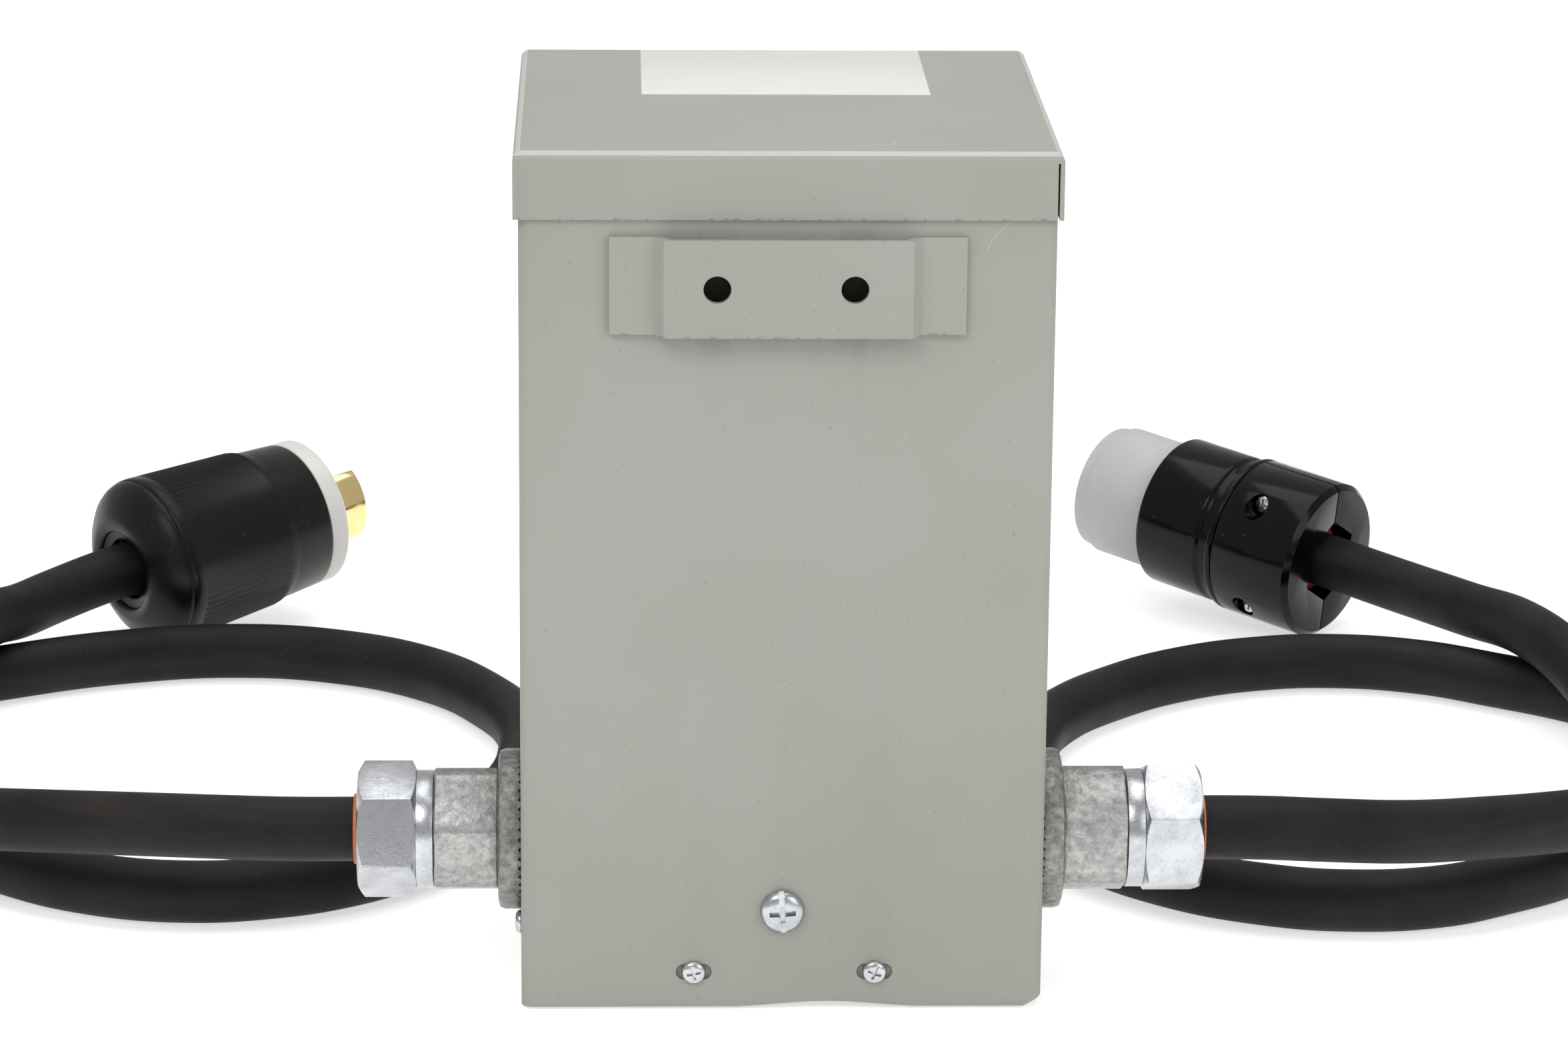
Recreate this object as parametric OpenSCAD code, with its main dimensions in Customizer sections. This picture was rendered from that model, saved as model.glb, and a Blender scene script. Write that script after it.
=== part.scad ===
// Small encapsulated step-down transformer in a folded steel case, with a cord gland on each side.
// One rubber-jacketed cord ends in a locking plug and the other in a locking connector.
// Millimetres. The origin is the centre of the case's foot, +Z is up and the wall bracket faces -Y.

/* [Case] */
// Width of the case, side to side
case_w = 139.4; // [120:0.1:180]
// Depth of the case, from the bracket side to the front
case_d = 140; // [125:0.1:180]
// Height of the case without the cap's sheet
case_h = 233.3; // [200:0.1:300]
// Thickness of the case's steel sheet
sheet_t = 1.2; // [1:0.1:1.6]
// Outer radius of the folds between the bracket side and the two sides
fold_r = 3; // [2:0.1:5]
// Height of the case's lower edge over the foot
skirt_lift = 0.6; // [0.4:0.1:1.5]

/* [Cap] */
// Height of the cap's flanges, from its top to its lip
cap_drop = 18; // [12:0.1:26]
// Outer radius of the folds round the cap's top
cap_fold_r = 3; // [2:0.1:4]
// Gap between the cap's flanges and the case
cap_gap = 0.1; // [0.05:0.05:0.4]
// Width of the open slit at each corner of the cap
cap_slit = 0.5; // [0.3:0.1:1]
// Width of the plain plate on the cap
label_w = 78; // [50:1:100]
// Depth of the plain plate on the cap
label_d = 64; // [40:1:70]
// Thickness of the plain plate
label_t = 0.2; // [0.2:0.1:0.5]

/* [Foot] */
// Height of the foot pan's flanges
pan_h = 20; // [17:1:26]
// Gap between the foot pan and the case
pan_gap = 0.2; // [0.1:0.05:0.5]
// Distance between the two adjusting slots
slot_gap = 48.4; // [40:0.1:60]
// Distance that the slots lie to the right of the middle
slot_shift = 0.6; // [-2:0.1:2]
// Height of the slots' centres
slot_z = 10.5; // [9:0.1:12]
// Length of a slot
slot_l = 9.6; // [8:0.1:12]
// Width of a slot
slot_w = 4.5; // [4:0.1:5]

/* [Front] */
// Height of the wiring cover's upper edge
cover_h = 76; // [66:1:84]
// Seam between the front's sheets and what they lie beside
seam = 0.3; // [0.2:0.05:0.6]
// Width of the flanges that the front is fastened to
return_w = 12; // [10:1:15]

/* [Wall bracket] */
// Width of the bracket over its tabs
bracket_w = 92.4; // [80:0.1:110]
// Height of the bracket
bracket_h = 25.8; // [22:0.1:32]
// Gap between the cap's lip and the bracket
bracket_drop = 4.3; // [3:0.1:10]
// Width of the bracket's raised middle, over its bends
bracket_mid_w = 69.2; // [60:0.1:75]
// Distance that the raised middle stands off the case
bracket_raise = 6.5; // [6.2:0.1:9]
// Thickness of the bracket's steel
bracket_t = 2; // [1.5:0.1:2.2]
// Distance between the two hanging holes
hanger_gap = 35.5; // [30:0.1:42]
// Radius of a hanging hole
hanger_r = 3.6; // [3:0.05:4.5]
// Distance that the hanging holes lie to the right of the middle
hanger_shift = -0.6; // [-2:0.1:2]
// Radius of the case's own holes behind the hanging holes
relief_r = 5; // [4.6:0.1:6]

/* [Screws] */
// Radius of the earth screw's head
earth_head_r = 5.95; // [5:0.05:7]
// Height of the earth screw
earth_z = 27.9; // [25:0.1:32]
// Radius of a small screw's head
screw_head_r = 3.2; // [2.9:0.05:3.6]
// Radius of a small screw's shank
screw_r = 1.45; // [1.2:0.05:1.8]
// Radial clearance of a shank in its hole
screw_gap = 0.15; // [0.1:0.05:0.3]

/* [Glands] */
// Distance of the glands' axis from the bracket side of the case
gland_in = 28; // [26:0.5:45]
// Height of the glands' axis
gland_z = 41.5; // [38:0.5:50]
// Radius of the toothed sealing ring
ring_r = 21.7; // [20:0.1:24]
// Thickness of the toothed sealing ring
ring_t = 6.3; // [5:0.1:8]
// Number of teeth on the ring
ring_teeth = 50; // [36:1:60]
// Length of the gland's cast body
body_l = 17.2; // [15:0.1:22]
// Across the wide faces of the cast body
body_flats = 32; // [30:0.1:36]
// Across the narrow faces of the cast body
body_corners = 34.3; // [33:0.1:38]
// Length of the collar
collar_l = 4.6; // [4:0.1:6]
// Radius of the collar
collar_r = 16; // [14:0.1:17]
// Length of the nut
nut_l = 15.8; // [14:0.1:20]
// Length of the bevel on the nut's outer end
nut_bevel = 2.4; // [1:0.1:3]
// Across the nut's flats
nut_flats = 32.1; // [30:0.1:36]
// Radius of the gland's threaded stub
stub_r = 11; // [10.5:0.1:12]
// Length that the rubber bush stands out of the nut
bush_out = 1.2; // [0.8:0.1:3]

/* [Cords and their ends] */
// Radius of the cords
cord_r = 8.75; // [8:0.05:8.8]
// Radial thickness of the rubber bush round a cord
bush_t = 0.8; // [0.6:0.1:1.5]
// Radius of the plug's shell at its widest
plug_r = 28; // [26:0.1:28]
// Length of the plug's shell, from where the cord goes in
plug_l = 60; // [55:0.5:75]
// Depth of the hollow round the cord in the plug's rear
plug_hollow = 7; // [5:0.5:9]
// Radius of the plug's shell at its cord end
plug_rear_r = 18; // [16:0.1:20]
// Radius of the plug's flange
flange_r = 24.2; // [22:0.1:25.4]
// Thickness of the plug's flange
flange_t = 7; // [5:0.1:9]
// Length of the plug's blades
blade_l = 14; // [12:0.5:18]
// Radius of the circle that the blades lie on
blade_r = 14; // [12:0.1:16]
// Thickness of a blade
blade_t = 1.6; // [1.4:0.1:2]
// Radius of the connector's shell
conn_r = 24.9; // [23:0.1:25.4]
// Length of the connector's two clamp jaws
jaw_l = 30; // [24:0.5:34]
// Length of the connector's shell
conn_l = 31; // [26:0.5:36]
// Radius of the connector's pale face piece
face_r = 21.7; // [20:0.1:23]
// Length of the connector's pale face piece
face_l = 28; // [22:0.5:32]
// Height and width of the step round the face piece's front edge
face_step = 2.4; // [1:0.1:4]

/* [Hidden] */
$fn = 48;

e = 0.01;
half_w = case_w / 2;
half_d = case_d / 2;
inner_w = case_w - 2 * sheet_t;
cap_w = case_w + 2 * (sheet_t + cap_gap);
cap_d = case_d + 2 * (sheet_t + cap_gap);
cap_z = case_h + sheet_t - cap_drop;
return_y = half_d - 2 * sheet_t;

paint = [0.70, 0.70, 0.67];
zinc = [0.74, 0.75, 0.76];
casting = [0.62, 0.62, 0.61];
rubber = [0.09, 0.09, 0.09];
brass = [0.80, 0.64, 0.30];

pan_front = -half_d + sheet_t + pan_gap;
pan_back = return_y - pan_gap;
pan_fold_r = 2.4;
front_w = inner_w - 2 * seam;
cover_screw_x = half_w - sheet_t - return_w / 2;
cover_screw_z = 40;
core_gap = 2;
core_z = 82;

bracket_z = cap_z - bracket_drop - bracket_h / 2;
bracket_slope = 2.4;

// The middle of the slot, and of the hanging hole, on one side.
function slot_x(side) = slot_shift + side * slot_gap / 2;
function hanger_x(side) = hanger_shift + side * hanger_gap / 2;

side_screw_y = -half_d + 15;
side_screw_z = 19.5;

gland_y = -half_d + gland_in;
stub_in = 9;
stub_gap = 0.25;
bush_r = cord_r + bush_t;
bush_l = 7;
// Corners of the hexagons, in degrees above the horizontal, seen from the bracket side.
left_body_corner = 22;
right_body_corner = 27;
left_nut_corner = 44;
right_nut_corner = 25;
body_at = ring_t;
collar_at = body_at + body_l + 0.3;
nut_at = collar_at + collar_l;
bush_at = nut_at + nut_l + bush_out - bush_l;
cord_start = half_w + bush_at;

// Where the plug's and the connector's rear faces are, and which way they point.
plug_at = [-199, 261.5, 27.7];
plug_turn = [0, -6.2, 38];
conn_at = [190.5, 270.5, 26.2];
conn_turn = [0, -6.5, 140];
// Depth of the cord in the connector, and of its seal's outer end.
cord_in = 16.5;
seal_at = 6;
jaw_opening = 24;
jaw_r = conn_r + 1.1;
// Where the two jaw screws are, and where their heads seat.
jaw_screw_x = 17.5;
jaw_screw_z = 19;
jaw_screw_r = 1.9;
jaw_screw_l = 26;
jaw_head_r = 3.4;
jaw_head_y = 13.5;

// Each cord's route, from its gland to its plug or connector.
left_route = [
    [-cord_start, -42, 41.5], [-132, -42, 41.5], [-150, -39, 41], [-170, -31, 39],
    [-192, -20, 36], [-215, -6, 32], [-238, 11, 27], [-262, 34, 20],
    [-284, 64, 13], [-297, 98, 9.5], [-298, 132, 8.75], [-286, 163, 8.75],
    [-264, 188, 8.75], [-239, 204, 8.75], [-200, 222, 8.75], [-166, 228, 8.75],
    [-134, 222, 8.75], [-104, 203, 8.75], [-83, 173, 8.75], [-72.5, 143, 8.75],
    [-71.5, 117, 8.75], [-75, 92, 8.75], [-81.5, 70, 8.75], [-89.5, 50, 8.75],
    [-102.5, 28, 8.75], [-120, 12, 8.75], [-141, 2.5, 8.75], [-165, -0.5, 8.75],
    [-191, 6, 8.75], [-218, 24, 8.75], [-241, 49, 8.75], [-257, 79, 8.75],
    [-265, 110, 11], [-263, 142, 17.5], [-253, 172, 24.5], [-241.5, 204, 26.6],
    [-234, 221, 24.2], [-224.5, 237.5, 24.2], [-210, 252.9, 26.2], [-199, 261.5, 27.7]
];
right_route = [
    [cord_start, -42, 41.5], [132, -42, 41.3], [148, -41, 40.3], [171, -36, 38],
    [196, -24, 35], [220, -7, 31], [243, 15, 26], [263, 41, 19],
    [278, 71, 12.5], [286, 102, 9], [285, 132, 8.75], [274, 160, 8.75],
    [254, 181, 8.75], [235, 195, 8.75], [211, 210, 8.75], [184, 216, 8.75],
    [160, 213, 8.75], [135, 202, 8.75], [112, 183, 8.75], [92, 157, 8.75],
    [81, 126, 8.75], [79, 95, 8.75], [82, 65, 8.75], [90, 37, 8.75],
    [111, 11, 8.75], [138, -5, 8.75], [160, -10, 8.75], [186, -7, 8.75],
    [207, 4, 8.75], [226, 18, 8.75], [243, 38, 8.75], [255, 65, 8.75],
    [261, 96, 9.5], [261, 128, 14], [255, 158, 22], [243, 190, 27],
    [228, 219, 25.4], [208, 252, 24.4], [190.5, 270.5, 26.2], [178, 281, 28]
];

function unit(v) = v / norm(v);

// The direction of a route at its point i.
function heading(route, i) =
    unit(route[min(i + 1, len(route) - 1)] - route[max(i - 1, 0)]);

// One ring of a tube: its sides points round point i of the route.
function ring(route, i, r, sides) =
    let (
        ahead = heading(route, i),
        across = unit(cross(ahead, [0, 0, 1])),
        up = cross(across, ahead)
    )
    [for (k = [0 : sides - 1])
        let (turn = 360 * (k + 0.5) / sides)
        route[i] + r * cos(turn) * across + r * sin(turn) * up];

function side_faces(rings, sides) =
    [for (i = [0 : rings - 2], k = [0 : sides - 1])
        let (next = (k + 1) % sides)
        [i * sides + k, (i + 1) * sides + k, (i + 1) * sides + next, i * sides + next]];

module tube(route, r, sides = 12) {
    rings = len(route);
    first = [for (k = [0 : sides - 1]) k];
    last = [for (k = [sides - 1 : -1 : 0]) (rings - 1) * sides + k];
    polyhedron(
        points = [for (i = [0 : rings - 1]) each ring(route, i, r, sides)],
        faces = concat([first], side_faces(rings, sides), [last])
    );
}

// A w by h rectangle standing on the X axis, with its two upper corners rounded.
module rounded_top(w, h, r) {
    translate([-w / 2, 0])
        square([w, h - r]);
    translate([-w / 2 + r, 0])
        square([w - 2 * r, h]);
    for (x = [-w / 2 + r, w / 2 - r])
        translate([x, h - r])
            circle(r);
}

// A block that is rounded round its top, as a folded lid is.
module folded_block(w, d, h, r) {
    intersection() {
        rotate([90, 0, 0])
            linear_extrude(d, center = true)
                rounded_top(w, h, r);
        rotate([90, 0, 90])
            linear_extrude(w, center = true)
                rounded_top(d, h, r);
    }
}

// The outline of the case seen from above, open-ended towards +Y.
module wrap_outline(w, near, far, r) {
    translate([-w / 2, near + r])
        square([w, far - near - r]);
    translate([-w / 2 + r, near])
        square([w - 2 * r, 2 * r]);
    for (x = [-w / 2 + r, w / 2 - r])
        translate([x, near + r])
            circle(r);
}

// A round hole or shank through the bracket side, at x and z.
module through_back(x, z, r, from, to) {
    translate([x, from, z])
        rotate([-90, 0, 0])
            cylinder(h = to - from, r = r);
}

module slot_hole(x) {
    for (end = [-1, 1])
        through_back(x + end * (slot_l - slot_w) / 2, slot_z, slot_w / 2, -half_d - 1, -half_d + 2 * sheet_t);
    translate([x - (slot_l - slot_w) / 2, -half_d - 1, slot_z - slot_w / 2])
        cube([slot_l - slot_w, 2 * sheet_t + 1, slot_w]);
}

// A pan-head screw along +Z: the head is above z = 0 and the shank below it.
module pan_screw(head_r, head_h, shank_r, shank_l, recess_r) {
    edge = head_h * 0.35;
    difference() {
        union() {
            rotate_extrude()
                polygon([[0, 0], [head_r, 0], [head_r, edge], [head_r * 0.78, head_h * 0.88],
                         [head_r * 0.45, head_h], [0, head_h]]);
            translate([0, 0, -shank_l])
                cylinder(h = shank_l + e, r = shank_r);
        }
        for (turn = [0, 90])
            rotate([0, 0, turn])
                translate([-recess_r, -recess_r * 0.17, head_h * 0.45])
                    cube([2 * recess_r, recess_r * 0.34, head_h]);
    }
}

module case_wrap() {
    color(paint)
    difference() {
        union() {
            translate([0, 0, skirt_lift])
                linear_extrude(case_h - skirt_lift)
                    difference() {
                        wrap_outline(case_w, -half_d, half_d, fold_r);
                        wrap_outline(inner_w, -half_d + sheet_t, half_d + 1, fold_r - sheet_t);
                    }
            for (side = [-1, 1])
                translate([side * (half_w - sheet_t / 2 - return_w / 2) - return_w / 2 - sheet_t / 2,
                           return_y, skirt_lift])
                    cube([return_w + sheet_t, sheet_t, case_h - skirt_lift]);
        }
        for (side = [-1, 1]) {
            slot_hole(slot_x(side));
            through_back(hanger_x(side), bracket_z, relief_r, -half_d - 1, -half_d + 2 * sheet_t);
            translate([side * (half_w - 2 * sheet_t), gland_y, gland_z])
                rotate([0, side * 90, 0])
                    cylinder(h = 4 * sheet_t, r = stub_r + stub_gap);
            through_back(side * cover_screw_x, cover_screw_z, screw_r + screw_gap,
                         return_y - 1, half_d);
        }
        through_back(0, earth_z, screw_r * 1.6 + screw_gap, -half_d - 1, -half_d + 2 * sheet_t);
        translate([-half_w - 1, side_screw_y, side_screw_z])
            rotate([0, 90, 0])
                cylinder(h = 2 * sheet_t + 1, r = screw_r + screw_gap);
    }
}

module front_panel() {
    color(paint)
    translate([-front_w / 2, half_d - sheet_t, cover_h + seam])
        cube([front_w, sheet_t, case_h - cover_h - seam]);
}

module wiring_cover() {
    color(paint)
    difference() {
        translate([-front_w / 2, half_d - sheet_t, skirt_lift])
            cube([front_w, sheet_t, cover_h - skirt_lift]);
        for (side = [-1, 1])
            through_back(side * cover_screw_x, cover_screw_z, screw_r + screw_gap,
                         return_y, half_d + 1);
    }
}

module cover_screw(side) {
    color(zinc)
    translate([side * cover_screw_x, half_d, cover_screw_z])
        rotate([-90, 0, 0])
            pan_screw(screw_head_r, 1.8, screw_r, 5, 1.9);
}

module cover_screw_left() {
    cover_screw(-1);
}

module cover_screw_right() {
    cover_screw(1);
}

module foot_pan() {
    pan_w = inner_w - 2 * pan_gap;
    pan_d = pan_back - pan_front;
    color(paint)
    difference() {
        translate([0, (pan_back + pan_front) / 2, pan_h])
            mirror([0, 0, 1])
                difference() {
                    folded_block(pan_w, pan_d, pan_h, pan_fold_r);
                    translate([0, 0, -e])
                        folded_block(pan_w - 2 * sheet_t, pan_d - 2 * sheet_t,
                                     pan_h - sheet_t + e, pan_fold_r - sheet_t);
                }
        for (side = [-1, 1])
            through_back(slot_x(side), slot_z, screw_r + screw_gap, pan_front - 1, pan_front + 3);
        translate([-half_w, side_screw_y, side_screw_z])
            rotate([0, 90, 0])
                cylinder(h = 8, r = screw_r + screw_gap);
    }
}

module cap() {
    color(paint)
    translate([0, 0, cap_z])
        difference() {
            folded_block(cap_w, cap_d, cap_drop, cap_fold_r);
            translate([0, 0, -e])
                folded_block(cap_w - 2 * sheet_t, cap_d - 2 * sheet_t,
                             cap_drop - sheet_t + e, cap_fold_r - sheet_t);
            for (x = [-1, 1], y = [-1, 1])
                translate([x * (cap_w / 2 - sheet_t - cap_slit / 2), y * cap_d / 2,
                           (cap_drop - cap_fold_r) / 2 - 1])
                    cube([cap_slit, 2 * sheet_t + 0.2, cap_drop - cap_fold_r + 2], center = true);
        }
}

module potted_core() {
    near = -half_d + sheet_t + core_gap;
    far = return_y - core_gap;
    core_w = inner_w - 2 * core_gap;
    color([0.35, 0.34, 0.32])
    translate([-core_w / 2, near, core_z])
        cube([core_w, far - near, case_h - core_gap - core_z]);
}

module plain_label() {
    color([0.93, 0.92, 0.88])
    translate([1.5 - label_w / 2, half_d - 2.5 - label_d, case_h + sheet_t])
        cube([label_w, label_d, label_t]);
}

module wall_bracket() {
    flat = bracket_mid_w / 2 - bracket_slope;
    color(paint)
    difference() {
        translate([0, -half_d, bracket_z - bracket_h / 2])
            linear_extrude(bracket_h)
                polygon([
                    [-bracket_w / 2, 0], [-bracket_w / 2, -bracket_t],
                    [-bracket_mid_w / 2, -bracket_t], [-flat, -bracket_raise],
                    [flat, -bracket_raise], [bracket_mid_w / 2, -bracket_t],
                    [bracket_w / 2, -bracket_t], [bracket_w / 2, 0],
                    [flat + bracket_slope - bracket_t, 0],
                    [flat - bracket_t, -bracket_raise + bracket_t],
                    [-flat + bracket_t, -bracket_raise + bracket_t],
                    [-flat - bracket_slope + bracket_t, 0]
                ]);
        for (side = [-1, 1])
            through_back(hanger_x(side), bracket_z, hanger_r,
                         -half_d - bracket_raise - 1, -half_d - bracket_raise + bracket_t + 0.5);
    }
}

module earth_screw() {
    color(zinc)
    translate([0, -half_d, earth_z])
        rotate([90, 0, 0])
            rotate([0, 0, 4])
                pan_screw(earth_head_r, 3.2, screw_r * 1.6, 8, 3.6);
}

module slot_screw(side) {
    color(zinc)
    translate([slot_x(side), -half_d, slot_z])
        rotate([90, 0, 0])
            pan_screw(screw_head_r, 1.8, screw_r, 5, 1.9);
}

module slot_screw_left() {
    slot_screw(-1);
}

module slot_screw_right() {
    slot_screw(1);
}

module side_screw() {
    color(zinc)
    translate([-half_w, side_screw_y, side_screw_z])
        rotate([0, -90, 0])
            pan_screw(screw_head_r, 1.8, screw_r, 5, 1.9);
}

// Places a gland piece, modelled along +Z from the wall outwards, on the left or the right side.
module on_side(side) {
    mirror([side < 0 ? 1 : 0, 0, 0])
        translate([half_w, gland_y, gland_z])
            rotate([0, 90, 0])
                children();
}

module hexagon(flats, l) {
    cylinder(h = l, r = flats / 2 / cos(30), $fn = 6);
}

module toothed_ring(side) {
    tooth = 360 / ring_teeth;
    half_pitch = PI * ring_r / ring_teeth;
    color(casting)
    on_side(side)
        difference() {
            rotate_extrude()
                polygon([[stub_r + stub_gap, 0], [ring_r, 0], [ring_r, ring_t - 1.8],
                         [ring_r - 0.5, ring_t - 0.5], [ring_r - 1.8, ring_t], [stub_r + stub_gap, ring_t]]);
            for (i = [0 : ring_teeth - 1])
                rotate([0, 0, i * tooth])
                    translate([ring_r - 2, 0, 0])
                        rotate([90, 0, 90])
                            linear_extrude(3)
                                polygon([[-half_pitch, -0.3], [0, 0.8], [half_pitch, -0.3]]);
        }
}

module gland_body(side, corner) {
    color(casting)
    on_side(side)
        difference() {
            union() {
                translate([0, 0, body_at])
                    rotate([0, 0, 30 - corner])
                        intersection() {
                            hexagon(body_flats, body_l);
                            rotate([0, 0, 30])
                                hexagon(body_corners, body_l);
                        }
                translate([0, 0, -stub_in])
                    cylinder(h = stub_in + body_at + e, r = stub_r);
            }
            translate([0, 0, -stub_in - 1])
                cylinder(h = stub_in + body_at + body_l + 2, r = cord_r + 0.3);
        }
}

module gland_collar(side) {
    color(casting)
    on_side(side)
        difference() {
            union() {
                translate([0, 0, body_at + body_l])
                    cylinder(h = 0.3 + e, r = collar_r - 2);
                translate([0, 0, collar_at])
                    cylinder(h = collar_l, r = collar_r);
            }
            translate([0, 0, body_at])
                cylinder(h = body_l + collar_l + 2, r = bush_r + 0.3);
        }
}

module gland_nut(side, corner) {
    rim = nut_flats / 2 / cos(30) + 1;
    face = nut_flats / 2 - 0.2;
    color(zinc)
    on_side(side)
        difference() {
            translate([0, 0, nut_at])
                intersection() {
                    rotate([0, 0, 30 - corner])
                        hexagon(nut_flats, nut_l);
                    rotate_extrude()
                        polygon([[0, 0], [face, 0], [rim, 0.7 * nut_bevel],
                                 [rim, nut_l - nut_bevel], [face, nut_l], [0, nut_l]]);
                }
            translate([0, 0, nut_at - 1])
                cylinder(h = nut_l + 2, r = bush_r + 0.1);
        }
}

module bush(side) {
    color([0.85, 0.40, 0.12])
    on_side(side)
        translate([0, 0, bush_at])
            difference() {
                cylinder(h = bush_l, r = bush_r);
                translate([0, 0, -1])
                    cylinder(h = bush_l + 2, r = cord_r);
            }
}

module left_toothed_ring() {
    toothed_ring(-1);
}

module left_gland_body() {
    gland_body(-1, left_body_corner);
}

module left_gland_collar() {
    gland_collar(-1);
}

module left_gland_nut() {
    gland_nut(-1, left_nut_corner);
}

module left_bush() {
    bush(-1);
}

module right_toothed_ring() {
    toothed_ring(1);
}

module right_gland_body() {
    gland_body(1, right_body_corner);
}

module right_gland_collar() {
    gland_collar(1);
}

module right_gland_nut() {
    gland_nut(1, right_nut_corner);
}

module right_bush() {
    bush(1);
}

module left_cord() {
    color(rubber)
    tube(left_route, cord_r);
}

module right_cord() {
    color(rubber)
    tube(right_route, cord_r);
}

// Places a plug piece, modelled along +Z from the rear face to the blades.
module on_plug() {
    translate(plug_at)
        rotate(plug_turn)
            rotate([0, 90, 0])
                children();
}

module plug_seal() {
    color([0.14, 0.14, 0.14])
    on_plug()
        difference() {
            translate([0, 0, -2])
                cylinder(h = 2, r = cord_r + 3.4);
            translate([0, 0, -3])
                cylinder(h = 4, r = cord_r + 0.6);
        }
}

module plug_shell() {
    grip_l = 0.74 * plug_l;
    color([0.10, 0.10, 0.10])
    on_plug()
        difference() {
            rotate_extrude()
                polygon([[0, 0], [plug_rear_r - 3, -plug_hollow], [plug_rear_r, -plug_hollow],
                         [plug_r - 2.5, -3], [plug_r, 3], [plug_r - 1.8, grip_l],
                         [flange_r + 0.2, grip_l + 2], [flange_r - 0.8, plug_l], [0, plug_l]]);
            translate([0, 0, -plug_hollow - e])
                cylinder(h = plug_hollow + e, r1 = plug_rear_r - 3, r2 = cord_r + 3.6);
        }
}

module plug_flange() {
    color([0.93, 0.92, 0.88])
    on_plug()
        translate([0, 0, plug_l])
            rotate_extrude()
                polygon([[0, 0], [flange_r, 0], [flange_r, flange_t - 1], [flange_r - 1, flange_t], [0, flange_t]]);
}

module plug_blade(at, sweep) {
    color(brass)
    on_plug()
        translate([0, 0, plug_l + flange_t])
            rotate([0, 0, at - sweep / 2])
                rotate_extrude(angle = sweep)
                    translate([blade_r - blade_t, 0])
                        square([blade_t, blade_l]);
}

module plug_blade_upper() {
    plug_blade(104, 36);
}

module plug_blade_near() {
    plug_blade(270, 116);
}

module plug_blade_far() {
    plug_blade(30, 50);
}

// Places a connector piece, modelled along +Z from the rear face to the socket face.
module on_connector() {
    translate(conn_at)
        rotate(conn_turn)
            rotate([0, 90, 0])
                children();
}

module cord_seal() {
    color([0.75, 0.12, 0.08])
    on_connector()
        difference() {
            translate([0, 0, seal_at])
                cylinder(h = jaw_l - 0.5 - seal_at, r = jaw_opening / 2 - 0.4);
            translate([0, 0, seal_at - 1])
                cylinder(h = cord_in - seal_at + 1, r = cord_r + 0.15);
        }
}

// One clamp jaw: half of a round block with half of a hexagonal opening. The near one has the screws' heads.
module jaw(side) {
    split = 0.3;
    color([0.11, 0.11, 0.11])
    on_connector()
        difference() {
            rotate_extrude()
                polygon([[0, 0], [jaw_r - 1.8, 0], [jaw_r, 1.8], [jaw_r, jaw_l - 0.4], [0, jaw_l - 0.4]]);
            translate([-jaw_r - 1, side > 0 ? -jaw_r - 1 : -split, -1])
                cube([2 * jaw_r + 2, jaw_r + 1 + split, jaw_l + 2]);
            translate([0, 0, -1])
                cylinder(h = jaw_l + 2, r = jaw_opening / 2 / cos(30), $fn = 6);
            for (x = [-jaw_screw_x, jaw_screw_x]) {
                translate([x, -jaw_r - 1, jaw_screw_z])
                    rotate([-90, 0, 0])
                        cylinder(h = 2 * jaw_r + 2, r = jaw_screw_r + screw_gap);
                translate([x, jaw_head_y, jaw_screw_z])
                    rotate([-90, 0, 0])
                        cylinder(h = jaw_r, r = jaw_head_r + 0.3);
            }
        }
}

module jaw_near() {
    jaw(1);
}

module jaw_far() {
    jaw(-1);
}

module jaw_screws() {
    color(zinc)
    on_connector()
        for (x = [-jaw_screw_x, jaw_screw_x])
            translate([x, jaw_head_y, jaw_screw_z])
                rotate([-90, 0, 0])
                    pan_screw(jaw_head_r, 2, jaw_screw_r, jaw_screw_l, 1.9);
}

module connector_ring() {
    color([0.11, 0.11, 0.11])
    on_connector()
        translate([0, 0, jaw_l])
            rotate_extrude()
                polygon([[0, 0], [jaw_r - 0.9, 0], [jaw_r, 0.8], [jaw_r, 2.2],
                         [jaw_r - 0.9, 3], [0, 3]]);
}

module connector_shell() {
    color([0.10, 0.10, 0.10])
    on_connector()
        translate([0, 0, jaw_l + 3])
            rotate_extrude()
                polygon([[0, 0], [conn_r - 1, 0], [conn_r - 1, 3], [conn_r, 4.5],
                         [conn_r, conn_l - 3 - 0.8], [conn_r - 0.8, conn_l - 3], [0, conn_l - 3]]);
}

module connector_face() {
    color([0.72, 0.73, 0.74])
    on_connector()
        translate([0, 0, jaw_l + conn_l])
            difference() {
                rotate_extrude()
                    polygon([[0, 0], [face_r, 0], [face_r, face_l - face_step], [face_r - face_step, face_l - face_step],
                             [face_r - face_step, face_l], [0, face_l]]);
                for (at = [180, 300, 60])
                    rotate([0, 0, at - 32])
                        rotate_extrude(angle = 64)
                            translate([blade_r - blade_t - 0.5, face_l - 15])
                                square([blade_t + 1, 16]);
            }
}

case_wrap();
front_panel();
wiring_cover();
cover_screw_left();
cover_screw_right();
foot_pan();
cap();
potted_core();
plain_label();
wall_bracket();
earth_screw();
slot_screw_left();
slot_screw_right();
side_screw();
left_toothed_ring();
left_gland_body();
left_gland_collar();
left_gland_nut();
left_bush();
right_toothed_ring();
right_gland_body();
right_gland_collar();
right_gland_nut();
right_bush();
left_cord();
plug_seal();
plug_shell();
plug_flange();
plug_blade_upper();
plug_blade_near();
plug_blade_far();
right_cord();
cord_seal();
jaw_near();
jaw_far();
jaw_screws();
connector_ring();
connector_shell();
connector_face();
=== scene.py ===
import bpy
import math
from mathutils import Matrix, Vector


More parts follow.
